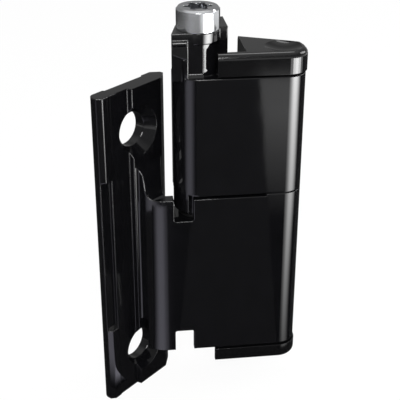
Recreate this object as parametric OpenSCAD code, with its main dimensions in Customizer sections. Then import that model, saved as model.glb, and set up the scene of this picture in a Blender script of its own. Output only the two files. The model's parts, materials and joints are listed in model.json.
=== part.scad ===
// A cabinet hinge with a screwed pin. One casting joins a mounting plate to the lower
// half of a wedge-shaped body. The other casting, the door leaf, is the upper half of
// the body and turns about the pin. Plastic caps close the two ends of the body.
// The origin is midway between the two screw holes, on the rear face of the plate.
// +X runs along the plate towards the pin, +Y runs into the frame behind the plate.
// Body modules are drawn with the pin axis at their own origin, the front face of the
// body across -Y and the nose of the wedge at +X.

/* [Mounting plate] */
// Height of the plate
plate_h = 106.6; // [100:0.2:120]
// Width of the plate to the left of the screw holes
plate_left = 15.2; // [14:0.1:20]
// Width of the plate to the right of the screw holes
plate_right = 14.9; // [14.5:0.1:15.5]
// Thickness of the plate on the side of the pin
plate_t = 6.15; // [5:0.05:7]
// Depth of the step down to the thinner left part of the plate
plate_step = 1.5; // [1:0.1:2]
// Distance from the screw holes to the top of the step
step_x = 2.55; // [2.55:0.05:3.2]
// Width of the slope of the step
step_slant = 0.3; // [0.2:0.05:0.8]
// Distance between the two screw holes
hole_pitch = 78.5; // [74:0.5:84]
// Diameter of the screw holes
hole_d = 11; // [8.4:0.1:11.4]
// Diameter of the countersink at the front of the plate
sink_d = 17; // [15:0.1:17.6]
// Depth of the hollow between the two rear lands
land_step = 0.6; // [0.3:0.1:1]
// Diameter of the rear land round each screw hole
land_hole_d = 14.6; // [13:0.1:15]
// Width of the rear land on the left
land_left_w = 3.9; // [2.5:0.1:5]
// Width of the rear land on the right
land_right_w = 4; // [3:0.1:4.4]
// Width and depth of the chamfer at the rear right edge of the plate
rear_chamfer = 2.3; // [1.5:0.1:2.6]
// Width of the chamfer at the front right edge of the plate
edge_w = 4.3; // [3:0.1:5]
// Depth of the chamfer at the front right edge of the plate
edge_h = 2.65; // [1.5:0.05:2.7]
// Radius of the rear left edge of the plate
rear_round = 2.6; // [1.5:0.1:3]
// Width of the raised rib along the left edge
rib_w = 4; // [3:0.1:5]
// Width of the bevel on the outer side of the rib
rib_bevel = 1.4; // [0.8:0.1:2]
// Distance by which the rib stands out from the thin part of the plate
rib_proud = 0.25; // [0.1:0.05:0.5]
// Height of the raised rib above the cut back between its two lengths
rib_h = 1; // [0.5:0.1:1.5]
// Length of the cut back in the middle of the rib
rib_gap = 52.8; // [30:0.1:70]

/* [Pin] */
// Distance from the screw holes to the pin axis, along the plate
pin_x = 15.5; // [15:0.1:16.5]
// Distance from the rear face of the plate to the pin axis
pin_out = 16.75; // [16:0.05:18]
// Diameter of the pin
pin_d = 8; // [6:0.1:8.4]
// Length of the pin under its head
pin_len = 90; // [84:1:98]
// Diameter of the pin head
head_d = 13; // [11:0.1:14]
// Height of the pin head
head_h = 6.4; // [5:0.1:8]
// Width across the lobes of the key socket
socket_d = 8.4; // [6:0.1:9]
// Depth of the key socket
socket_depth = 3.6; // [2:0.1:4.2]
// Width of the chamfer round the top of the head
head_chamfer = 0.6; // [0.2:0.1:1]

/* [Body] */
// Distance from the pin axis to the front face
front_y = 8.35; // [8.2:0.05:9]
// Distance from the pin axis to the left side of the body
barrel_left = 7.8; // [7.6:0.05:8.2]
// Radius of the front left corner
corner_r = 8; // [7:0.1:8.1]
// Distance from the pin axis to the nose
nose_x = 32.25; // [29:0.05:35]
// Radius of the nose at the front
nose_front_r = 5.9; // [4:0.1:6]
// Radius of the nose at the rear
nose_rear_r = 5; // [2:0.1:5]
// Distance from the pin axis to the flat part of the rear
rear_y = 10.9; // [10:0.1:12]
// Distance from the pin axis to where the rear starts to slope
slope_x = 12.8; // [12:0.1:14]
// Slope of the rear face
slope_angle = 23.7; // [20:0.1:25]
// Radius where the rear starts to slope
slope_r = 2; // [1:0.5:6]
// Distance from the pin axis to the start of the flat part of the rear
shoulder_x = 1; // [0:0.1:2]
// Distance from the pin axis to the upper end of the left side
shoulder_y = 3; // [2:0.1:4]
// Radius at each end of the slanted side between them
shoulder_r = 4; // [2:0.1:4.5]
// Thickness of the body walls
wall = 2.6; // [2:0.1:3]
// Distance from the pin axis to the hollow of the body
hollow_x = 14.2; // [13:0.1:16]
// Thickness of the closed end of each hollow
floor_t = 3.2; // [2:0.1:5]

/* [Lower body] */
// Height of the lower body
lower_h = 55.6; // [52:0.1:58]
// Distance from the middle of the plate down to the bottom of the lower body
lower_drop = 38.2; // [36:0.1:40]
// Height of the raised land near the nose
pad_h = 0.8; // [0.4:0.1:1]
// Distance from the pin axis to the raised land
pad_x = 20.7; // [16:0.1:26]
// Depth of the pockets at the two ends of the lower barrel
pocket_depth = 7.4; // [6.4:0.1:9]
// Distance from the pin axis to the near edge of the notches
notch_near = 2.3; // [1.8:0.1:3]
// Distance from the pin axis to the far edge of the notches
notch_far = 8.5; // [8.45:0.05:9]
// Radius in the corners of the notches
notch_r = 0.7; // [0.3:0.1:1.2]

/* [Web] */
// Thickness of the web between the lower body and the plate
web_t = 3.95; // [3:0.05:5]
// Radius of the corner where the web turns towards the plate
web_r = 11.5; // [9:0.5:12.5]
// Radius of the open space round the barrels
swing_r = 11.8; // [11:0.1:12.2]
// Distance from the screw holes to the left side of the web
web_left = 1.3; // [0.6:0.1:1.3]
// Radius of the hollow corner between the web and the plate
web_fillet = 1.2; // [0.6:0.1:1.2]
// Height on the plate at which the web ends
web_top = 27.7; // [26:0.1:30]
// Height of the slope at the top of the web
web_slope = 2.2; // [1:0.1:3]
// Radius of the hollow sweep down to the top of the lower body
sweep_r = 3.6; // [2:0.1:4]
// Radius of the relief round the lower screw head
relief_r = 12.2; // [10:0.1:12.5]
// Depth of the relief in front of the plate
relief_depth = 2.6; // [1:0.1:3]

/* [Door leaf] */
// Height of the upper body
upper_h = 37.95; // [34:0.05:42]
// Play between the raised land and the upper body
seam_play = 0.25; // [0.1:0.05:0.5]
// Distance from the pin axis to the flat front of the knuckle
knuckle_y = 6; // [5.6:0.1:6.3]
// Distance from the pin axis to the left side of the knuckle
knuckle_left = 8.45; // [8.2:0.05:8.6]
// Slant of the left side of the knuckle from front to rear
knuckle_slant = 2; // [1:0.1:2.5]
// Distance from the pin axis to the right side of the knuckle
knuckle_right = 8.9; // [8:0.1:9.5]
// Distance from the pin axis to the end of the flat front of the knuckle
flat_x = 1; // [0:0.1:2]
// Height of the knuckle above the upper body
knuckle_h = 13.35; // [12:0.05:16]
// Height of the collar under the pin head
collar_h = 3.4; // [2:0.1:4]
// Radius of the collar
collar_r = 6.4; // [6:0.1:6.8]
// Radius of the neck under the collar
neck_r = 5.6; // [5.4:0.1:5.8]
// Distance from the pin axis to the inner side of the wall on the left
ear_x = 3.8; // [3.4:0.1:4.4]
// Distance from the top of the knuckle down to the ledge on the left wall
ledge_drop = 2.1; // [1:0.1:3]
// Distance from the flat front of the knuckle to the front of the ledge
ledge_out = 1.1; // [0.8:0.1:1.4]
// Height of the ledge
ledge_h = 1.6; // [1.5:0.1:2]
// Radius along the edges of the ledge
ledge_r = 0.7; // [0.3:0.1:0.7]
// Height of the ramp from under the ledge down to the wall
ramp_h = 4.2; // [3:0.1:5]
// Distance by which the ramp slopes out to the front
ramp_out = 0.8; // [0.4:0.1:1]
// Distance by which the foot of the ramp rises to the left
ramp_rise = 1.9; // [1:0.1:2.5]
// Width of the slanted corner at the foot of the knuckle
foot_w = 1; // [0.5:0.1:1.4]
// Gap between the tab and the bottom of the notch
tab_gap = 2.4; // [1.5:0.1:3.5]
// Radius of the barrel end that turns in the pocket
spigot_r = 6.4; // [6:0.1:6.5]

/* [Door screws] */
// Distance between the two threaded holes for the door
door_pitch = 20; // [16:0.5:20]
// Diameter of the threaded holes for the door
door_hole_d = 6; // [4:0.1:6]
// Depth of the threaded holes for the door
door_hole_depth = 8; // [6:0.1:8.5]
// Diameter of the bosses round the threaded holes
boss_d = 10.4; // [9:0.1:10.6]
// Distance from the pin axis to the threaded holes, along the front face
door_hole_x = 21; // [20:0.1:23]

/* [Bushes] */
// Outer diameter of the bushes
bush_d = 10; // [9.6:0.1:10.4]
// Length of the bush sleeves
bush_len = 14; // [8:0.5:16]
// Thickness of the flange that carries the door leaf
flange_t = 1; // [0.6:0.1:1.5]

/* [Caps] */
// Distance by which the caps stand out from the body
cap_proud = 0.4; // [0.3:0.05:0.8]
// Height of the top cap
top_cap_h = 6.75; // [6:0.05:8]
// Height of the bottom cap
bottom_cap_h = 5.1; // [4.6:0.05:6]
// Width of the shadow line between a cap and the body
shadow_gap = 0.7; // [0.3:0.05:1]
// Distance from the pin axis to the end of the front arm of the caps
arm_x = 4.9; // [4.8:0.1:6]
// Distance from the pin axis to the rear edge of the front arm
arm_y = 6.2; // [5.8:0.1:6.6]
// Distance from the pin axis to the left side of the rear part of the caps
cap_rear_x = 13.6; // [12.6:0.1:14]
// Radius of the rounded edge round the outside of the caps
cap_edge_r = 1.7; // [0.8:0.1:2]
// Thickness of the plug walls
plug_t = 1.5; // [1:0.1:2]
// Length of the plugs inside the body
plug_len = 4; // [2:0.1:6]
// Radius of the finger dimple in the top cap
dimple_r = 5.8; // [4:0.1:6]
// Depth of the finger dimple
dimple_depth = 1.3; // [0.5:0.1:1.6]
// Distance from the pin axis to the middle of the dimple, along the front face
dimple_x = 25.5; // [23:0.1:27]
// Distance from the pin axis to the middle of the dimple, towards the front
dimple_y = 2; // [1:0.1:3]
// Width of the flat rim left between the dimple and the rounded edge
dimple_rim = 0.2; // [0.1:0.05:0.6]

/* [Fits] */
// Clearance round the pin in the bushes
run_fit = 0.04; // [0.02:0.01:0.1]
// Play between the parts that turn on each other, end to end
end_play = 0.05; // [0.03:0.01:0.2]
// Clearance round what turns in a pocket
turn_gap = 0.25; // [0.2:0.05:0.4]
// Clearance round the plugs of the caps
plug_fit = 0.1; // [0.05:0.01:0.2]

/* [Hidden] */
$fn = 96;

// Angle from the plate to the front face of the body
body_turn = -45;
// Opening angle of the door leaf, which sets the space that the tab sweeps
open_angle = 120;
// Small extra length that lets a cut run past a face
cut = 1;
// Small length by which pieces of one casting run into each other
overlap = 0.5;
// Thickness of the thin slices that a rounded edge is stretched over
slice = 0.01;
// Number of slices and of straight pieces round a circle at that edge
edge_steps = 6;
edge_fn = 48;
// Smallest radius that a shrunk outline keeps
least_r = 0.2;
// Lean of the short slope at the top of the web, as a share of its height
web_lean = 0.9;
// Distance by which the front of the web leans out under that slope
web_face_out = 0.75;
// Depth by which the hollow corner runs into the plate and the web
fillet_in = 0.05;
// Angle by which the space for the tab goes on past the open door leaf
swing_margin = 6;
// Angle by which that space starts past the left of the pin axis
swing_start = 66;
// Thickness of the metal under the threaded holes for the door
boss_floor = 1.2;
// Extra width of the bore in the door leaf between the bushes
bore_play = 0.6;
// Width of the chamfer at the tip of the pin
tip_chamfer = 0.8;
// Root width and valley radius of the key socket, as shares of its width
lobe_root = 0.72;
lobe_valley = 0.17;
// Distance by which the flange of the lower bush stays back from the spigot
flange_back = 0.1;
// Distance by which the groove under a cap reaches in
groove_in = 1;
// Thickness of a cap's top under its dimple
cap_t = 2.4;
// Share of the depth of the ledge at which the ramp starts under it
ramp_share = 0.25;
// Distance by which the ledge stays back from the left side of the knuckle
ear_side = 0.15;

black_paint = [0.07, 0.07, 0.075];
cap_black = [0.1, 0.1, 0.105];
zinc_steel = [0.8, 0.8, 0.82];
bush_plastic = [0.12, 0.12, 0.125];

plate_thin = plate_t - plate_step;
lower_z = -lower_drop;
deck_z = lower_z + lower_h;
pocket_z = deck_z - pocket_depth;
upper_z = deck_z + pad_h + seam_play;
top_z = upper_z + upper_h;
knuckle_z = top_z + knuckle_h;
collar_z = knuckle_z - collar_h;
ledge_z = knuckle_z - ledge_drop;
flange_top = pocket_z + flange_t;
spigot_z = flange_top + end_play;
tab_z = pocket_z + tab_gap;
head_z = knuckle_z + end_play;
barrel_bottom = lower_z + pocket_depth;
bush_bore = pin_d + 2 * run_fit;
bore_clear = pin_d + bore_play;
sweep_clear = front_y + turn_gap;
slope = tan(slope_angle);

// Height of the rear face above the pin axis at a place along the front face
function rear_at(x) = rear_y - (x - slope_x) * slope;

function unit(v) = v / norm(v);

// The corner itself, its two tangent points and the centre of its round, in a kite
function corner(p, i) =
    let (n = len(p),
         here = [p[i][0], p[i][1]],
         before = p[(i + n - 1) % n],
         after = p[(i + 1) % n],
         u = unit([before[0], before[1]] - here),
         v = unit([after[0], after[1]] - here),
         half = acos(u * v) / 2,
         r = p[i][2],
         t = r / tan(half))
    [here, here + u * t, here + unit(u + v) * r / sin(half), here + v * t];

// A place on the mounting plate as body modules see it from the pin axis
function from_pin(x, y) =
    [x - pin_x - y - pin_out, x - pin_x + y + pin_out] / sqrt(2);

// An outline with a radius at each outward corner, as [x, y, radius]
module rounded(p) {
    difference() {
        polygon([for (q = p) [q[0], q[1]]]);
        for (i = [0 : len(p) - 1])
            if (p[i][2] > 0) {
                kite = corner(p, i);
                difference() {
                    polygon(kite);
                    translate(kite[2]) circle(r = p[i][2]);
                }
            }
    }
}

// Places a body module on the pin axis, turned to the plate
module at_pin() {
    translate([pin_x, -pin_out, 0]) rotate([0, 0, body_turn]) children();
}

// The wedge from a given left side to the nose, grown or shrunk by grow
module wedge(grow, left) {
    side = grow / cos(slope_angle);
    nose = nose_x + grow;
    rounded([
        [left, -front_y - grow, 0],
        [nose, -front_y - grow, nose_front_r + grow],
        [nose, rear_at(nose) + side, max(nose_rear_r + grow, least_r)],
        [left, rear_at(left) + side, 0]
    ]);
}

// The full outline of the upper body, with its rounded barrel side
module body_plan() {
    rounded([
        [-barrel_left, -front_y, corner_r],
        [nose_x, -front_y, nose_front_r],
        [nose_x, rear_at(nose_x), nose_rear_r],
        [slope_x, rear_y, slope_r],
        [shoulder_x, rear_y, shoulder_r],
        [-barrel_left, shoulder_y, shoulder_r]
    ]);
}

// The outline of the lower body, whose front left corner runs into the web
module lower_plan() {
    rounded([
        [-notch_near - overlap, -front_y, 0],
        [nose_x, -front_y, nose_front_r],
        [nose_x, rear_at(nose_x), nose_rear_r],
        [slope_x, rear_y, slope_r],
        [shoulder_x, rear_y, shoulder_r],
        [-barrel_left, shoulder_y, shoulder_r],
        [-barrel_left, -front_y + web_t / 2, 0]
    ]);
}

// The strip of the outline to the left of a given distance, as the tab and the ear use it
module left_strip(x) {
    intersection() {
        body_plan();
        translate([-2 * corner_r, -2 * front_y]) square([2 * corner_r - x, 2 * front_y]);
    }
}

// The outline of the plate with the rib cut back
module plate_plan() {
    right_land = plate_right - rear_chamfer;
    left_land = rear_round - plate_left;
    cut_back = rib_h - plate_thin;
    rounded([
        [right_land, 0, 0],
        [right_land - land_right_w, 0, 0],
        [right_land - land_right_w - land_step, -land_step, 0],
        [left_land + land_left_w + land_step, -land_step, 0],
        [left_land + land_left_w, 0, 0],
        [-plate_left, 0, rear_round],
        [-plate_left, cut_back, 0],
        [-plate_left + rib_w, cut_back, 0],
        [-plate_left + rib_w, -plate_thin, 0],
        [-step_x - step_slant, -plate_thin, 0],
        [-step_x, -plate_t, 0],
        [plate_right - edge_w, -plate_t, 0],
        [plate_right, edge_h - plate_t, 0],
        [plate_right, -rear_chamfer, 0]
    ]);
}

// The outline of the rib on the left edge, with its bevelled outer side
module rib_plan() {
    base = rib_h - plate_thin;
    polygon([
        [-plate_left, base],
        [-plate_left + rib_bevel, -plate_thin - rib_proud],
        [-plate_left + rib_w, -plate_thin - rib_proud],
        [-plate_left + rib_w + rib_proud, -plate_thin],
        [-plate_left + rib_w + rib_proud, base]
    ]);
}

module plate() {
    translate([0, 0, -plate_h / 2]) linear_extrude(plate_h) plate_plan();
    rib_len = (plate_h - rib_gap) / 2;
    for (z = [-plate_h / 2, rib_gap / 2])
        translate([0, 0, z]) linear_extrude(rib_len) rib_plan();
    for (z = [-hole_pitch / 2, hole_pitch / 2])
        translate([0, 0, z]) rotate([90, 0, 0]) cylinder(d = land_hole_d, h = land_step + overlap);
}

// The wall that stands on the plate and turns into the front of the lower body.
// Its left side stands close to the screw holes, square to the plate.
module web_plan() {
    difference() {
        rounded([
            [-notch_near, -front_y, 0],
            [-notch_near, 0, 0],
            [each from_pin(pin_x - swing_r / 2, -plate_t / 2), 0],
            [each from_pin(-web_left, -plate_thin / 2), 0],
            [front_y - (pin_x + web_left) * sqrt(2), -front_y, web_r]
        ]);
        intersection() {
            circle(r = swing_r);
            translate([-2 * swing_r, -front_y + web_t]) square(3 * swing_r);
        }
    }
}

// What is cut off above the web, so that it sweeps from the plate down to the lower body
module web_cut() {
    face = -plate_t - web_slope * web_lean;
    foot = face - web_face_out;
    rotate([90, 0, 90]) translate([0, 0, -plate_left]) linear_extrude(3 * plate_left) {
        polygon([
            [-plate_t, web_top],
            [face, web_top - web_slope],
            [foot, deck_z + sweep_r],
            [foot - sweep_r, deck_z + sweep_r],
            [foot - sweep_r, deck_z],
            [-3 * pin_out, deck_z],
            [-3 * pin_out, plate_h],
            [-plate_t, plate_h]
        ]);
        translate([foot - sweep_r, deck_z + sweep_r]) circle(r = sweep_r);
    }
}

// The hollow corner between the plate and the left side of the web
module web_corner() {
    low = -hole_pitch / 2 + relief_r;
    middle = [fillet_in - web_left - web_fillet, fillet_in - plate_t - web_fillet];
    difference() {
        translate([middle[0], middle[1], low])
            cube([web_fillet + overlap, web_fillet + overlap, web_top - low]);
        translate([middle[0], middle[1], low - cut])
            cylinder(r = web_fillet, h = web_top - low + 2 * cut);
    }
}

module web() {
    difference() {
        union() {
            at_pin() translate([0, 0, lower_z]) linear_extrude(web_top - lower_z) web_plan();
            web_corner();
        }
        web_cut();
        // Relief round the lower screw head
        translate([0, -plate_t, -hole_pitch / 2]) rotate([90, 0, 0])
            cylinder(r = relief_r, h = relief_depth);
    }
}

// A countersunk screw hole through the plate
module screw_hole(z) {
    sink_depth = (sink_d - hole_d) / 2;
    translate([0, 0, z]) rotate([90, 0, 0]) {
        translate([0, 0, -cut]) cylinder(d = hole_d, h = plate_t + 2 * cut);
        translate([0, 0, plate_t - sink_depth])
            cylinder(d1 = hole_d, d2 = sink_d, h = sink_depth);
        translate([0, 0, plate_t - slice]) cylinder(d = sink_d, h = relief_depth);
    }
}

// The round pocket, the path of the tab and the notch, at one end of the lower barrel
module barrel_pocket() {
    translate([0, 0, -cut]) cylinder(r = spigot_r + turn_gap, h = pocket_depth + cut);
    reach = 2 * sweep_clear;
    from = 180 - open_angle - swing_margin;
    to = 180 + swing_start;
    translate([0, 0, -cut]) linear_extrude(pocket_depth + cut) intersection() {
        circle(r = sweep_clear);
        polygon([
            [0, 0],
            for (i = [0 : 4]) let (a = from + (to - from) * i / 4) [reach * cos(a), reach * sin(a)]
        ]);
    }
    translate([0, 0, -cut]) rotate([90, 0, 0]) linear_extrude(front_y + cut)
        rounded([
            [-notch_far, 0, 0],
            [-notch_near, 0, 0],
            [-notch_near, pocket_depth + cut, notch_r],
            [-notch_far, pocket_depth + cut, notch_r]
        ]);
}

module lower_body() {
    difference() {
        union() {
            translate([0, 0, lower_z]) linear_extrude(lower_h) lower_plan();
            translate([0, 0, deck_z]) linear_extrude(pad_h) wedge(0, pad_x);
        }
        translate([0, 0, lower_z - cut]) linear_extrude(lower_h - floor_t + cut)
            wedge(-wall, hollow_x);
    }
}

// Mounting plate, web and lower half of the body, cast in one piece
module frame_leaf() {
    color(black_paint) difference() {
        union() {
            plate();
            web();
            at_pin() lower_body();
        }
        for (z = [-hole_pitch / 2, hole_pitch / 2]) screw_hole(z);
        at_pin() {
            translate([0, 0, lower_z]) barrel_pocket();
            translate([0, 0, deck_z]) mirror([0, 0, 1]) barrel_pocket();
            translate([0, 0, barrel_bottom - cut])
                cylinder(d = pin_d, h = pocket_z - barrel_bottom + 2 * cut);
        }
    }
}

// The outline of the knuckle round a neck or collar of the given radius
module knuckle_plan(r) {
    circle(r = r);
    polygon([
        [-knuckle_left, -knuckle_y],
        [flat_x, -knuckle_y],
        [flat_x, 0],
        [knuckle_right, 0],
        [knuckle_right, rear_y],
        [shoulder_x, rear_y],
        [knuckle_slant - knuckle_left, shoulder_y]
    ]);
}

// The slanted corner between the flat front of the knuckle and the top of the body
module knuckle_foot() {
    translate([-ear_x - cut, -knuckle_y, top_z]) rotate([90, 0, 90])
        linear_extrude(flat_x + ear_x + cut)
            polygon([[-foot_w, 0], [0, foot_w], [cut, foot_w], [cut, -cut], [-foot_w, -cut]]);
}

// The wall on the left of the knuckle, with a ramp and a ledge at its top.
// Its corner is round below the foot of the ramp and square above it.
module ear() {
    ramp_top = ledge_z - ledge_h;
    ramp_foot = ramp_top - ramp_h;
    ramp_y = -knuckle_y - ledge_out * ramp_share;
    ledge_y = -knuckle_y - ledge_out;
    back_y = overlap - knuckle_y;
    low = top_z - cut;
    translate([0, 0, low]) linear_extrude(ramp_foot - low) left_strip(ear_x);
    // Behind the slanted foot of the ramp
    translate([0, 0, low]) linear_extrude(ramp_foot + ramp_rise + overlap - low) intersection() {
        left_strip(ear_x);
        translate([-2 * corner_r, ramp_y]) square(2 * corner_r);
    }
    difference() {
        translate([ear_side - knuckle_left, 0, 0]) rotate([90, 0, 90])
            linear_extrude(knuckle_left - ear_side - ear_x)
                rounded([
                    [back_y, ramp_foot, 0],
                    [back_y, ledge_z, 0],
                    [ledge_y, ledge_z, ledge_r],
                    [ledge_y, ramp_top, ledge_r],
                    [ramp_y, ramp_top, 0],
                    [ramp_y - ramp_out, ramp_foot, 0]
                ]);
        rotate([90, 0, 0]) linear_extrude(2 * front_y) polygon([
            [-ear_x + cut, ramp_foot - cut],
            [-ear_x + overlap, ramp_foot],
            [-knuckle_left, ramp_foot + ramp_rise],
            [-knuckle_left - cut, ramp_foot - cut]
        ]);
    }
}

// Places a boss or hole on the sloping rear face, pointing out of the body
module at_door_hole(z) {
    translate([door_hole_x, rear_at(door_hole_x), z])
        rotate([0, 0, -slope_angle]) rotate([-90, 0, 0]) children();
}

module door_body() {
    difference() {
        translate([0, 0, upper_z]) linear_extrude(upper_h) body_plan();
        difference() {
            translate([0, 0, upper_z + floor_t]) linear_extrude(upper_h - floor_t + cut)
                wedge(-wall, hollow_x);
            for (side = [-1, 1])
                at_door_hole(door_z(side)) translate([0, 0, -door_hole_depth - boss_floor])
                    cylinder(d = boss_d, h = door_hole_depth + boss_floor);
        }
    }
}

// Height of each threaded hole for the door
function door_z(side) = upper_z + floor_t + (upper_h - floor_t - plug_len) / 2 + side * door_pitch / 2;

// Upper half of the body, knuckle and tab, cast in one piece
module door_leaf() {
    color(black_paint) at_pin() difference() {
        union() {
            door_body();
            translate([0, 0, spigot_z]) cylinder(r = spigot_r, h = upper_z - spigot_z + cut);
            translate([0, 0, tab_z]) linear_extrude(upper_z - tab_z + cut) left_strip(ear_x);
            ear();
            translate([0, 0, top_z - cut]) linear_extrude(collar_z - top_z + cut)
                knuckle_plan(neck_r);
            translate([0, 0, collar_z]) linear_extrude(collar_h) knuckle_plan(collar_r);
            knuckle_foot();
        }
        translate([0, 0, spigot_z - cut]) cylinder(d = bore_clear, h = knuckle_z);
        translate([0, 0, spigot_z - cut]) cylinder(d = bush_d, h = bush_len + cut);
        translate([0, 0, knuckle_z - bush_len]) cylinder(d = bush_d, h = bush_len + cut);
        for (side = [-1, 1])
            at_door_hole(door_z(side)) translate([0, 0, -door_hole_depth])
                cylinder(d = door_hole_d, h = door_hole_depth + cut);
    }
}

// The six lobes of the key socket
module socket_plan() {
    root_d = lobe_root * socket_d;
    valley_r = lobe_valley * socket_d;
    difference() {
        circle(d = socket_d);
        for (i = [0 : 5])
            rotate(60 * i + 30) translate([root_d / 2 + valley_r, 0]) circle(r = valley_r);
    }
}

// Cylinder head screw that both leaves hang on, screwed into the lower barrel
module hinge_pin() {
    color(zinc_steel) at_pin() difference() {
        rotate_extrude() polygon([
            [0, head_z - pin_len],
            [pin_d / 2 - tip_chamfer, head_z - pin_len],
            [pin_d / 2, head_z - pin_len + tip_chamfer],
            [pin_d / 2, head_z],
            [head_d / 2, head_z],
            [head_d / 2, head_z + head_h - head_chamfer],
            [head_d / 2 - head_chamfer, head_z + head_h],
            [0, head_z + head_h]
        ]);
        translate([0, 0, head_z + head_h - socket_depth])
            linear_extrude(socket_depth + cut) socket_plan();
    }
}

// Plain sleeve pressed into the top of the door leaf
module upper_bush() {
    color(bush_plastic) at_pin() difference() {
        translate([0, 0, knuckle_z - bush_len]) cylinder(d = bush_d, h = bush_len);
        translate([0, 0, knuckle_z - bush_len - cut]) cylinder(d = bush_bore, h = bush_len + 2 * cut);
    }
}

// Flanged sleeve pressed into the foot of the door leaf, which it carries
module lower_bush() {
    color(bush_plastic) at_pin() difference() {
        union() {
            translate([0, 0, pocket_z + end_play]) cylinder(r = spigot_r - flange_back, h = flange_t);
            translate([0, 0, pocket_z + end_play]) cylinder(d = bush_d, h = flange_t + bush_len);
        }
        translate([0, 0, pocket_z]) cylinder(d = bush_bore, h = flange_t + bush_len + cut);
    }
}

// The part of the wedge that the caps cover: the rear part and the front arm
module cap_area(z, h) {
    reach = 2 * nose_x;
    difference() {
        union() {
            translate([cap_rear_x, -reach / 2, z]) cube([reach, reach, h]);
            translate([arm_x, -reach / 2, z]) cube([reach, reach / 2 - arm_y, h]);
        }
        translate([0, 0, z - cut]) cylinder(r = neck_r + turn_gap, h = h + 2 * cut);
    }
}

// The outer shell of a cap from z = 0 up, with its rounded outer edge on top
module cap_shell(h) {
    intersection() {
        hull() {
            linear_extrude(slice) wedge(cap_proud, 0, $fn = edge_fn);
            for (i = [0 : edge_steps]) let (a = 90 * i / edge_steps)
                translate([0, 0, h - cap_edge_r * (1 - sin(a)) - slice]) linear_extrude(slice)
                    wedge(cap_proud - cap_edge_r * (1 - cos(a)), 0, $fn = edge_fn);
        }
        cap_area(0, h);
    }
}

// A cap that stands on the end of the body at z = 0, with its plug pointing down
module cap(h) {
    plug = -wall - plug_fit;
    inside_z = shadow_gap + h - dimple_depth - cap_t;
    difference() {
        union() {
            translate([0, 0, shadow_gap]) cap_shell(h);
            intersection() {
                linear_extrude(shadow_gap + overlap) wedge(-groove_in, 0);
                cap_area(0, shadow_gap + cut);
            }
            translate([0, 0, -plug_len]) linear_extrude(plug_len + overlap)
                wedge(plug, hollow_x + plug_fit);
        }
        translate([0, 0, -plug_len - cut]) linear_extrude(plug_len + cut + inside_z)
            wedge(plug - plug_t, hollow_x + plug_fit + plug_t);
    }
}

// Cap on the upper body, with a finger dimple
module top_cap() {
    ball_r = (dimple_r * dimple_r + dimple_depth * dimple_depth) / (2 * dimple_depth);
    top = top_z + shadow_gap + top_cap_h;
    color(cap_black) at_pin() difference() {
        translate([0, 0, top_z]) cap(top_cap_h);
        intersection() {
            translate([dimple_x, -dimple_y, top + ball_r - dimple_depth]) sphere(r = ball_r);
            translate([0, 0, top_z]) linear_extrude(2 * top_cap_h)
                wedge(cap_proud - cap_edge_r - dimple_rim, hollow_x);
        }
    }
}

// Cap under the lower body
module bottom_cap() {
    color(cap_black) at_pin() translate([0, 0, lower_z]) mirror([0, 0, 1]) cap(bottom_cap_h);
}

frame_leaf();
door_leaf();
hinge_pin();
upper_bush();
lower_bush();
top_cap();
bottom_cap();
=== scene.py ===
# %% [markdown]
# # A black cabinet hinge
#
# The hinge is two zinc castings under gloss black enamel. They turn about a plated screw in two
# plastic bushes, and a moulded cap closes each end of the body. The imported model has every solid
# at its real size. This lesson dresses those solids: it breaks their sharp edges as a casting mould
# does, gives each one the finish of the real material, cuts the screw threads that the solids leave
# plain, and photographs the hinge from where the photographer stood.

# %% Load the frame and keep its size
import json
import math

import bpy
import numpy as np
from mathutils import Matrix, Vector


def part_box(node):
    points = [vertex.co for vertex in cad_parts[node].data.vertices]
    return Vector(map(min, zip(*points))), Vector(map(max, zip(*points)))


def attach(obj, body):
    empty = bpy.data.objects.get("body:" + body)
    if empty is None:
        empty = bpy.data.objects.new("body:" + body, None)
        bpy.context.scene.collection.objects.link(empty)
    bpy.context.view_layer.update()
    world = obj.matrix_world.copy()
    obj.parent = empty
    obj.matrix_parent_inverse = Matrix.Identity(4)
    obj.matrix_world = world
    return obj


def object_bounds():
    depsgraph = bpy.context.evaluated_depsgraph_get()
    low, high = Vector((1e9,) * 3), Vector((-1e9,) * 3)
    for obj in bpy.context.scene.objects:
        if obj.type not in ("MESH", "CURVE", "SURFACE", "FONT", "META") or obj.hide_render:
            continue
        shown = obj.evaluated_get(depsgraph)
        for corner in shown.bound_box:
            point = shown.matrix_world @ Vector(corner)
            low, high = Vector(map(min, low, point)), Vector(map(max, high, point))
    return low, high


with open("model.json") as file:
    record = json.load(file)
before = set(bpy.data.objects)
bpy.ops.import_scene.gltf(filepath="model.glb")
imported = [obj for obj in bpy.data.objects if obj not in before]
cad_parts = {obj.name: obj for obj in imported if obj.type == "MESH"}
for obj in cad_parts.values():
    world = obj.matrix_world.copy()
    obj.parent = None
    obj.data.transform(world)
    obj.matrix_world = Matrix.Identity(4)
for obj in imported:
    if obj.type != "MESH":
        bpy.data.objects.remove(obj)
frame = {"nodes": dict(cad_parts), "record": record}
cad_low, cad_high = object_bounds()
MM = 0.001
print("solids:", ", ".join(sorted(frame["nodes"])))
print("box in mm:", [round(x / MM, 1) for x in (*cad_low, *cad_high)])

# %% [markdown]
# ## The camera
#
# The picture is 400 pixels square. The upright edges of the body lean together a little, which
# gives how far away the camera stood and how steeply it looked down. It is placed by three plain
# facts: where it stands, which way it looks over the ground, and how far it is tipped down.

# %% Put the camera where the photographer stood
CAMERA_AT = Vector((-199.5, -186.1, 149.65)) * MM
LOOK_OVER_GROUND = Vector((0.787, 0.617, 0))
LOOK_DOWN = math.radians(26.5)
LENS_MM, SENSOR_MM = 86.1, 36
NEAREST_M, FURTHEST_M = 0.01, 20

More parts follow.
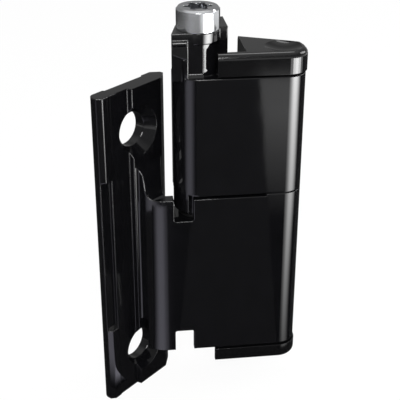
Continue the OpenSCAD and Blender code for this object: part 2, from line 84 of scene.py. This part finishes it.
level = LOOK_OVER_GROUND.normalized() * math.cos(LOOK_DOWN)
gaze = level - Vector((0, 0, math.sin(LOOK_DOWN)))
camera = bpy.data.objects.new("camera", bpy.data.cameras.new("camera"))
camera.data.lens, camera.data.sensor_width = LENS_MM, SENSOR_MM
camera.data.clip_start, camera.data.clip_end = NEAREST_M, FURTHEST_M
camera.location = CAMERA_AT
camera.rotation_mode = "QUATERNION"
camera.rotation_quaternion = gaze.to_track_quat("-Z", "Y")
bpy.context.scene.collection.objects.link(camera)
bpy.context.scene.camera = camera
bpy.context.scene.view_settings.view_transform = "Standard"
distance = (CAMERA_AT - (cad_low + cad_high) / 2).length
print("camera stands", round(distance / MM), "mm from the hinge")

# %% [markdown]
# ## Small helpers
#
# Colours are written as hex values, as a paint chart gives them, and one function turns them to the
# linear numbers that light is reckoned in. One function adds a node with its settings and links.
# A finish always starts the same way: a material, its shader and the coordinates of the object.
# Then its colour, roughness and surface direction are wired to the shader.

# %% Colours, nodes and meshes
def linear(code, alpha=1.0):
    """The linear colour of an sRGB hex code: each part is raised by the sRGB curve."""
    parts = np.array([int(code[i:i + 2], 16) for i in (0, 2, 4)]) / 255
    curve = np.where(parts <= 0.04045, parts / 12.92, ((parts + 0.055) / 1.055) ** 2.4)
    return (*curve.tolist(), alpha)


def add_node(tree, kind, inputs=None, **settings):
    """Adds a node. Settings are its own fields; an input is a value, or a socket to link from."""
    made = tree.nodes.new(kind)
    for name, value in settings.items():
        setattr(made, name, value)
    for name, value in (inputs or {}).items():
        if isinstance(value, bpy.types.NodeSocket):
            tree.links.new(value, made.inputs[name])
        else:
            made.inputs[name].default_value = value
    return made


def empty_tree(owner):
    """Turns on the nodes of a material or a world, and returns its tree with nothing in it."""
    owner.use_nodes = True
    owner.node_tree.nodes.clear()
    return owner.node_tree


def new_finish(name, **shader):
    """A material with its shader set. Returns the material, its tree, the shader and the place."""
    finish = bpy.data.materials.new(name)
    tree = empty_tree(finish)
    values = {key.replace("_", " "): value for key, value in shader.items()}
    bsdf = add_node(tree, "ShaderNodeBsdfPrincipled", values)
    add_node(tree, "ShaderNodeOutputMaterial", {"Surface": bsdf.outputs[0]})
    place = add_node(tree, "ShaderNodeTexCoord").outputs["Object"]
    return finish, tree, bsdf, place


def wire(tree, shader, sockets):
    """Links each socket to the input of the shader that it is listed under."""
    for name, socket in sockets.items():
        tree.links.new(socket, shader.inputs[name])


def add_mesh(name, points, faces, finish):
    """A new object in the scene, from points in metres and faces, with one finish."""
    mesh = bpy.data.meshes.new(name)
    mesh.from_pydata(points, [], faces)
    made = bpy.data.objects.new(name, mesh)
    bpy.context.scene.collection.objects.link(made)
    mesh.materials.append(finish)
    return made


print("mid grey 808080 is", round(linear("808080")[0], 3), "in linear light")

# %% [markdown]
# ## Broken edges
#
# No cast, moulded or turned edge is truly sharp, and on a black part the thin light line along each
# edge is most of what the eye sees. A bevel of the mesh would be one way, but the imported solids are
# exact triangles that stay as they are, with tiny ones along every fillet that a bevel would choke
# on. So each finish turns its surface near an edge as a round of the real radius would.

# %% A round of a given radius, and patterns of a given size
EDGE_SAMPLES = 8     # rays that look for an edge near each point
DRIFT_DETAIL = 3.0   # octaves of noise in a colour or a gloss that drifts


def per_mm(size):
    """Texture scale for a pattern whose crests lie this many millimetres apart."""
    return 1 / (size * MM)


def height_of(tree, place, size, detail=2.0):
    """The height of a fine unevenness with crests about size mm apart."""
    return add_node(tree, "ShaderNodeTexNoise", {"Vector": place, "Scale": per_mm(size),
                                                 "Detail": detail}).outputs[0]


def drifting(tree, place, size, low, high):
    """A number that drifts from low to high, with crests about size mm apart."""
    noise = height_of(tree, place, size, DRIFT_DETAIL)
    return add_node(tree, "ShaderNodeMapRange", {"Value": noise, "To Min": low,
                                                 "To Max": high}).outputs[0]


def mottled(tree, place, size, dark, light):
    """A colour that drifts between two hex codes, with crests about size mm apart."""
    noise = height_of(tree, place, size, DRIFT_DETAIL)
    mix = add_node(tree, "ShaderNodeMix", {"Factor": noise}, data_type="RGBA")
    mix.inputs[6].default_value, mix.inputs[7].default_value = linear(dark), linear(light)
    return mix.outputs[2]


def rounded_normal(tree, edge_mm, bumps):
    """The direction of the surface: averaged within edge_mm of an edge, then tipped by each bump,
    given as (height socket, strength, depth in mm), one over the other."""
    normal = add_node(tree, "ShaderNodeBevel", {"Radius": edge_mm * MM},
                      samples=EDGE_SAMPLES).outputs[0]
    for height, strength, depth in bumps:
        normal = add_node(tree, "ShaderNodeBump", {"Height": height, "Strength": strength,
                                                   "Distance": depth * MM,
                                                   "Normal": normal}).outputs[0]
    return normal


print("a pattern 2 mm wide has scale", per_mm(2))

# %% [markdown]
# ## Gloss black enamel on die-cast zinc
#
# A die casting comes out of its mould faintly wavy, and enamel baked on it levels to a deep gloss
# with a light orange peel. The eye sees near black faces, with reflections whose edges wobble a
# little and a gloss that varies by a trace. So the colour is almost even, the roughness drifts
# over some millimetres, and two bumps are added: the slow wave of the casting, and the peel.

# %% The enamel of the two castings
ENAMEL_IOR = 1.45
PEEL_MM = 1.6        # from crest to crest of the orange peel
PEEL_DEPTH_MM = 0.004
WAVE_MM = 14         # from crest to crest of the casting's wave
WAVE_DEPTH_MM = 0.03
ENAMEL_DRIFT_MM = 6  # from crest to crest of its colour and gloss
CAST_EDGE_MM = 0.5

enamel, tree, shader, place = new_finish("gloss_black_enamel_on_zinc", IOR=ENAMEL_IOR)
wave = height_of(tree, place, WAVE_MM, 1.0)
peel = height_of(tree, place, PEEL_MM)
wire(tree, shader, {
    "Base Color": mottled(tree, place, ENAMEL_DRIFT_MM, "070708", "0d0d0f"),
    "Roughness": drifting(tree, place, ENAMEL_DRIFT_MM, 0.03, 0.07),
    "Normal": rounded_normal(tree, CAST_EDGE_MM, [(wave, 0.5, WAVE_DEPTH_MM),
                                                  (peel, 0.5, PEEL_DEPTH_MM)])})
print(enamel.name, "peel", PEEL_MM, "mm, wave", WAVE_MM, "mm")

# %% [markdown]
# ## Moulded black plastic of the caps
#
# The caps are injection moulded polyamide. The mould is lightly spark eroded, so they have a grain
# of about a fifth of a millimetre and look a touch softer than the enamel beside them.

# %% The plastic of the caps
POLYAMIDE_IOR = 1.45
GRAIN_MM = 0.35      # the real grain is nearer 0.2 mm, which is too fine to show
GRAIN_DEPTH_MM = 0.003
POLYAMIDE_DRIFT_MM = 4
MOULDED_EDGE_MM = 0.25

moulded, tree, shader, place = new_finish("moulded_black_polyamide", IOR=POLYAMIDE_IOR)
grain = height_of(tree, place, GRAIN_MM)
wire(tree, shader, {
    "Base Color": mottled(tree, place, POLYAMIDE_DRIFT_MM, "060607", "0a0a0b"),
    "Roughness": drifting(tree, place, POLYAMIDE_DRIFT_MM, 0.07, 0.11),
    "Normal": rounded_normal(tree, MOULDED_EDGE_MM, [(grain, 0.35, GRAIN_DEPTH_MM)])})
print(moulded.name, "grain", GRAIN_MM, "mm")

# %% [markdown]
# ## Zinc plated steel of the pin
#
# The pin is a cylinder head screw, turned and then plated bright. A turning tool leaves rings round
# the axis: on the side they repeat with the height, on the top with the distance from the axis.
# Both are read from one picture of the place, unrolled as distance and height, so the rings meet
# at the rim as they do on the lathe.

# %% The plated steel of the pin
head_low, head_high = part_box("hinge_pin")
PIN_AXIS = Vector(((head_low.x + head_high.x) / 2, (head_low.y + head_high.y) / 2, 0))
RING_MM = 0.3        # tool marks are nearer 0.1 mm, which is too fine to show
RING_DEPTH_MM = 0.004
PLATING_DRIFT_MM = 5
TURNED_EDGE_MM = 0.15

plated, tree, shader, place = new_finish("zinc_plated_steel", Metallic=1.0)
centred = add_node(tree, "ShaderNodeMapping", {"Vector": place, "Location": -PIN_AXIS})
split = add_node(tree, "ShaderNodeSeparateXYZ", {0: centred.outputs[0]})
flat = add_node(tree, "ShaderNodeCombineXYZ", {0: split.outputs[0], 1: split.outputs[1]})
radius = add_node(tree, "ShaderNodeVectorMath", {0: flat.outputs[0]}, operation="LENGTH")
unrolled = add_node(tree, "ShaderNodeCombineXYZ", {0: radius.outputs["Value"],
                                                   1: split.outputs[2]})
rings = height_of(tree, unrolled.outputs[0], RING_MM, 3.0)
gloss = add_node(tree, "ShaderNodeMapRange", {"Value": rings, "To Min": 0.1, "To Max": 0.2})
wire(tree, shader, {
    "Base Color": mottled(tree, place, PLATING_DRIFT_MM, "c3c5c9", "d4d5d6"),
    "Roughness": gloss.outputs[0],
    "Normal": rounded_normal(tree, TURNED_EDGE_MM, [(rings, 0.3, RING_DEPTH_MM)])})
print(plated.name, "rings", RING_MM, "mm round", [round(x / MM, 2) for x in PIN_AXIS])

# %% [markdown]
# ## Acetal of the bushes and bare zinc of the threads
#
# The bushes are black acetal, which is waxy and a little dull. Only the edge of one flange shows,
# deep in the notch. The threads are tapped after casting, so there the zinc is bare, grey and
# slightly dull, with a mottle where the tap has smeared it.

# %% The acetal and the bare zinc
ACETAL_IOR = 1.48
ACETAL_DRIFT_MM = 2.5
ACETAL_GRAIN_MM = 0.6
SMEAR_MM = 0.8       # from crest to crest of what the tap smeared

acetal, tree, shader, place = new_finish("black_acetal", IOR=ACETAL_IOR)
grain = height_of(tree, place, ACETAL_GRAIN_MM)
wire(tree, shader, {
    "Base Color": mottled(tree, place, ACETAL_DRIFT_MM, "0c0c0d", "141415"),
    "Roughness": drifting(tree, place, ACETAL_DRIFT_MM, 0.36, 0.48),
    "Normal": rounded_normal(tree, MOULDED_EDGE_MM, [(grain, 0.3, GRAIN_DEPTH_MM)])})

bare_zinc, tree, shader, place = new_finish("tapped_bare_zinc", Metallic=1.0)
wire(tree, shader, {
    "Base Color": mottled(tree, place, SMEAR_MM, "8d8f92", "b4b6b8"),
    "Roughness": drifting(tree, place, SMEAR_MM, 0.28, 0.5)})
print(acetal.name, "and", bare_zinc.name)

# %% Give every solid its finish
FINISHES = {"frame_leaf": enamel, "door_leaf": enamel, "hinge_pin": plated, "upper_bush": acetal,
            "lower_bush": acetal, "top_cap": moulded, "bottom_cap": moulded}
for name, finish in FINISHES.items():
    frame["nodes"][name].material_slots[0].material = finish
    print(name, "has", finish.name)

# %% [markdown]
# ## Screw threads
#
# The solids have plain holes where the real casting is tapped. A thread is one ridge that climbs
# round the hole: its height over the hole's wall depends only on how far a point is along the
# pitch, counted from where the helix has got to at that angle. So the inside of a sleeve is a grid
# of angle and depth, its radius is worked out for all points at once, and an outer wall closes it.

# %% A tapped thread as a grid of angle and depth
M6_PITCH, M8_PITCH = 1.0, 1.25
THREAD_HEIGHT = 0.54  # height of a metric thread as a share of its pitch
CREST_HALF = 0.15     # half of the flat crest, as a share of the pitch
FLANK_SLOPE = 4       # thread heights that a flank falls in one pitch
RUN_IN = 0.7          # pitches over which the ridge grows at either end
SLEEVE_WALL_MM = 0.05
SLEEVE_TURNS = 48     # points round the hole
ROWS_PER_PITCH = 12


def tapped_sleeve(name, start, along, length, major, pitch):
    """A closed sleeve with an inner thread, from start along a direction. All lengths in mm.
    Inner radius = major radius - thread height x ridge, where ridge is a trapezium wave of
    (depth along the hole / pitch - angle / full turn). The outer wall is a plain cylinder."""
    rows = int(length / pitch * ROWS_PER_PITCH) + 1
    angle = np.linspace(0, 2 * np.pi, SLEEVE_TURNS, endpoint=False)[None, :]
    down = np.linspace(0, length, rows)[:, None]
    phase = (down / pitch - angle / (2 * np.pi)) % 1
    ridge = np.clip(1 + FLANK_SLOPE * (CREST_HALF - np.abs(phase - 0.5)), 0, 1)
    fade = np.clip(np.minimum(down, length - down) / (RUN_IN * pitch), 0, 1)
    inner = major / 2 - THREAD_HEIGHT * pitch * ridge * fade
    outer = np.full_like(inner, major / 2 + SLEEVE_WALL_MM)
    radius = np.concatenate([inner, outer[::-1]])[..., None]
    height = np.concatenate([down, down[::-1]])[..., None]
    along = Vector(along).normalized()
    side = along.orthogonal().normalized()
    up = along.cross(side)
    points = (np.array(start) + np.cos(angle)[..., None] * radius * np.array(side)
              + np.sin(angle)[..., None] * radius * np.array(up)
              + height * np.array(along)).reshape(-1, 3)
    ring = np.arange(2 * rows)[:, None] * SLEEVE_TURNS
    here = ring + np.arange(SLEEVE_TURNS)[None, :]
    below, right = np.roll(here, -1, axis=0), np.roll(here, -1, axis=1)
    below_right = np.roll(below, -1, axis=1)
    quads = np.stack([here, below, below_right, right], axis=-1).reshape(-1, 4)
    made = add_mesh(name, (points * MM).tolist(), quads.tolist(), bare_zinc)
    made.data.polygons.foreach_set("use_smooth", np.ones(len(quads), bool))
    print(name, "M%g," % major, len(quads), "faces")
    return made


# %% Tap the holes for the door screws and the lower barrel
for mount in frame["record"]["mounts"]:
    if mount["kind"] != "threaded_hole":
        continue
    hole = tapped_sleeve(mount["name"] + "_thread", [x / MM for x in mount["pos_m"]],
                         [-x for x in mount["axis"]], mount["dims"]["length_mm"] - 0.1,
                         2 * mount["dims"]["r_mm"], M6_PITCH)
    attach(hole, "door_side")

BARREL_END = -30.8   # height at which the thread of the lower barrel starts, from below
BARREL_MAJOR = 8
PIN_TIP = head_low.z / MM
barrel = tapped_sleeve("barrel_thread", (PIN_AXIS.x / MM, PIN_AXIS.y / MM, BARREL_END), (0, 0, 1),
                       PIN_TIP - BARREL_END - 0.2, BARREL_MAJOR, M8_PITCH)
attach(barrel, "frame_side")

# %% [markdown]
# ## Floor, backdrop and light
#
# The floor is white to the camera, and to what reflects or lets light through, with a strength of
# 1. It still takes a share of its brightness from the lamps, so the hinge keeps a soft shadow. The
# world is a pale grey room with a white ceiling, which lights the upper edges. A large soft box
# stands up at the left of the camera, a weaker one at the right, and a third hangs behind.

# %% The floor and the world
FLOOR_SIZE_M = 6.0
FLOOR_GLOW = 0.93          # share of the floor's white that doesn't depend on the lamps
WORLD_LIGHT = 0.3          # a pale grey room
CEILING_LIGHT = 0.9        # its white ceiling
CEILING_FROM, CEILING_FULL = 0.6, 0.92   # sine of the elevation at which it starts and is full


def seen(tree):
    """1 for a ray from the camera, a reflection or a ray through glass, 0 for other light."""
    path = add_node(tree, "ShaderNodeLightPath").outputs
    either = add_node(tree, "ShaderNodeMath", {0: path["Is Camera Ray"],
                                               1: path["Is Glossy Ray"]}, operation="MAXIMUM")
    return add_node(tree, "ShaderNodeMath", {0: either.outputs[0],
                                             1: path["Is Transmission Ray"]},
                    operation="MAXIMUM").outputs[0]


paper = bpy.data.materials.new("white_paper_sweep")
tree = empty_tree(paper)
matt = add_node(tree, "ShaderNodeBsdfDiffuse", {"Color": linear("f4f4f4")})
white = add_node(tree, "ShaderNodeEmission", {"Color": (1, 1, 1, 1), "Strength": 1.0})
share = add_node(tree, "ShaderNodeMath", {0: seen(tree), 1: FLOOR_GLOW}, operation="MULTIPLY")
both = add_node(tree, "ShaderNodeMixShader", {0: share.outputs[0], 1: matt.outputs[0],
                                              2: white.outputs[0]})
add_node(tree, "ShaderNodeOutputMaterial", {"Surface": both.outputs[0]})

half = FLOOR_SIZE_M / 2
corners = [(-half, -half), (half, -half), (half, half), (-half, half)]
floor = add_mesh("floor", [(x, y, cad_low.z) for x, y in corners], [(0, 1, 2, 3)], paper)

world = bpy.data.worlds.new("pale_studio")
bpy.context.scene.world = world
tree = empty_tree(world)
ray = add_node(tree, "ShaderNodeTexCoord").outputs["Generated"]
rise = add_node(tree, "ShaderNodeSeparateXYZ", {0: ray}).outputs[2]
room = add_node(tree, "ShaderNodeMapRange",
                {"Value": rise, "From Min": CEILING_FROM, "From Max": CEILING_FULL,
                 "To Min": WORLD_LIGHT, "To Max": CEILING_LIGHT}, interpolation_type="SMOOTHSTEP")
sky = add_node(tree, "ShaderNodeBackground", {"Color": (1, 1, 1, 1), "Strength": room.outputs[0]})
add_node(tree, "ShaderNodeOutputWorld", {"Surface": sky.outputs[0]})
print("floor", FLOOR_SIZE_M, "m wide, room", WORLD_LIGHT, "and ceiling", CEILING_LIGHT)


# %% The soft boxes
MIDDLE = Vector((10, -15, 10))   # what the boxes point at, in mm


def soft_box(name, at, size, radiance):
    """A square area lamp of a given brightness. Places and sizes are in mm. A lamp's power is its
    brightness times its area times pi. The camera doesn't see it, reflections do."""
    lamp = bpy.data.lights.new(name, "AREA")
    lamp.shape, lamp.size = "SQUARE", size * MM
    lamp.energy = radiance * lamp.size ** 2 * math.pi
    made = bpy.data.objects.new(name, lamp)
    made.location = Vector(at) * MM
    made.rotation_mode = "QUATERNION"
    made.rotation_quaternion = (MIDDLE - Vector(at)).to_track_quat("-Z", "Y")
    made.visible_camera = False
    bpy.context.scene.collection.objects.link(made)
    print(name, "radiance", radiance, "power", round(lamp.energy, 3), "W")


soft_box("key_box", (-560, -500, 560), 380, 18.0)
soft_box("side_box", (650, -470, 460), 420, 6.0)
soft_box("top_box", (320, 120, 830), 300, 3.0)

# %% [markdown]
# ## What the black faces mirror
#
# The faces of the body stand upright and the camera looks down on them, so what they mirror lies
# low, on the floor in front. A white floor would grey the black faces all over. So a black card that
# only reflections see is laid round the product: a painted dark reflection on the black faces. The
# light lines down the rounded corners are painted highlights: glowing sheets that lie on that card,
# which only reflections see. A place at height z mirrors the floor at about twice its height above
# the floor, so the far end of a glow lights the top of a line.

# %% Sheets that only reflections see, for painted reflections and painted highlights
FLOOR_MM = cad_low.z / MM
SHEET_TURNS, SHEET_STEPS = 96, 24    # points along and across a sheet
FIRST_REFLECTION = 1.5               # the glossy depth of a first reflection is 1, of a second 2


def sector(name, foot, bearings, reach, lift, finish, glow=None):
    """A flat part of a ring, lift mm over the floor, on a grid of bearing and distance from foot.
    Bearings are in degrees from +X. glow(bearing, distance) gives the brightness of each point.
    It is hidden from every ray but a reflection."""
    grid = (SHEET_TURNS, SHEET_STEPS)
    bearing = np.linspace(*bearings, SHEET_TURNS)[:, None]
    away = np.linspace(*reach, SHEET_STEPS)[None, :]
    angle = np.radians(bearing)
    points = np.stack([foot[0] + np.cos(angle) * away, foot[1] + np.sin(angle) * away,
                       np.full(grid, FLOOR_MM + lift)], axis=-1).reshape(-1, 3)
    here = np.arange(SHEET_TURNS * SHEET_STEPS).reshape(grid)
    quads = np.stack([here[:-1, :-1], here[:-1, 1:], here[1:, 1:], here[1:, :-1]], axis=-1)
    made = add_mesh(name, (points * MM).tolist(), quads.reshape(-1, 4).tolist(), finish)
    if glow:
        values = np.broadcast_to(glow(bearing, away), grid)
        written = made.data.attributes.new("glow", "FLOAT", "POINT")
        written.data.foreach_set("value", values.ravel())
        print(name, "brightest", round(float(values.max()), 2))
    made.visible_camera = made.visible_diffuse = False
    made.visible_shadow = made.visible_transmission = False


def glowing(name, colour):
    """A glowing material for painted highlights: its brightness is the number written at each point
    of its mesh. It shows in a first reflection only: the plate would mirror it again by way of the
    body."""
    cloth = bpy.data.materials.new(name)
    tree = empty_tree(cloth)
    written = add_node(tree, "ShaderNodeAttribute", attribute_name="glow").outputs["Fac"]
    bounces = add_node(tree, "ShaderNodeLightPath").outputs["Glossy Depth"]
    first = add_node(tree, "ShaderNodeMath", {0: bounces, 1: FIRST_REFLECTION},
                     operation="LESS_THAN").outputs[0]
    bright = add_node(tree, "ShaderNodeMath", {0: written, 1: first}, operation="MULTIPLY")
    shine = add_node(tree, "ShaderNodeEmission", {"Color": linear(colour),
                                                  "Strength": bright.outputs[0]})
    add_node(tree, "ShaderNodeOutputMaterial", {"Surface": shine.outputs[0]})
    return cloth


def ease(x, start, end):
    """0 before start and 1 after end, with a soft step between them."""
    t = np.clip((x - start) / (end - start), 0, 1)
    return t * t * (3 - 2 * t)


def hump(x, rise, fall):
    """0, then 1 between the two soft steps rise and fall, each given as (start, end), then 0."""
    return ease(x, *rise) * (1 - ease(x, *fall))


# %% The black card and the glows on it: a painted dark reflection and painted highlights
CARD_FOOT, CARD_RADIUS, CARD_DRIFT_MM = (22, -24), 412, 8
LINE_PER_MM = 0.065    # how much brighter the painted highlight line of the nose gets for each mm further out
BAND_LIGHT = 1.5       # the painted highlight band high on the front face
LEFT_LIGHT, LOW_LIGHT, HEAD_LIGHT = 1.5, 2.0, 1.1

# The black card is a painted dark reflection: a dark mottled sheet hidden from the camera, from
# diffuse light and from shadows.
painted_dark_reflection, tree, shader, place = new_finish("dark_reflection_card", Roughness=0.9)
wire(tree, shader, {"Base Color": mottled(tree, place, CARD_DRIFT_MM, "1c1c1c", "222222")})
sector("dark_reflection_card", CARD_FOOT, (0, 360), (0, CARD_RADIUS), 0.2, painted_dark_reflection)

# Two glowing materials for the painted highlights, one white and one cool.
white_highlight_glow = glowing("painted_highlight_glow", "ffffff")
cool_highlight_glow = glowing("cool_painted_highlight_glow", "f0eeff")


def right_glow(bearing, away):
    """The painted highlight line down the nose: brighter further out, and narrower and turned a
    little to the left close by. A weaker stretch paints a lighter band on the front face up high."""
    near = 1 - ease(away, 45, 180)
    line = LINE_PER_MM * away * hump(bearing, (-123 + 3 * near, -91 - 8 * near),
                                     (-87 - 9 * near, -47 - 13 * near))
    band = BAND_LIGHT * np.clip((away - 125) / 130, 0, 1) * (1 - ease(away, 318, 330))
    return line + band * (1 - ease(bearing, -112, -95))


def left_glow(bearing, away):
    """The painted highlight line down the left corner of the upper body, the same at any distance."""
    return LEFT_LIGHT * hump(bearing, (-211, -186), (-180, -153))


def low_glow(bearing, away):
    """The painted highlight line down the corner of the web and in the hollow corner beside it."""
    return LOW_LIGHT * hump(bearing, (-177, -156), (-150, -128))


def head_glow(bearing, away):
    """The painted reflection on the side of the pin head: white in the middle, grey to the left,
    dark at the ends."""
    white = HEAD_LIGHT * hump(bearing, (-136, -124), (-10, 6))
    grey = (0.02 + 0.36 * ease(bearing, -235, -160)) * (1 - ease(bearing, -136, -124))
    return white + grey


# Each sheet lies at a height of its own, so that none shares a plane with another.
# Each glowing sheet paints a highlight or a reflection onto the hinge.
sector("right_glow", (32, -37), (-126, -46), (24, 405), 0.8, white_highlight_glow, right_glow)
sector("left_glow", (15, -17), (-212, -152), (147, 326), 0.6, cool_highlight_glow, left_glow)
sector("low_glow", (10, -7), (-178, -126), (15, 146), 1.0, cool_highlight_glow, low_glow)
sector("head_glow", (15.5, -16.8), (-330, 30), (416, 560), 0.4, white_highlight_glow, head_glow)
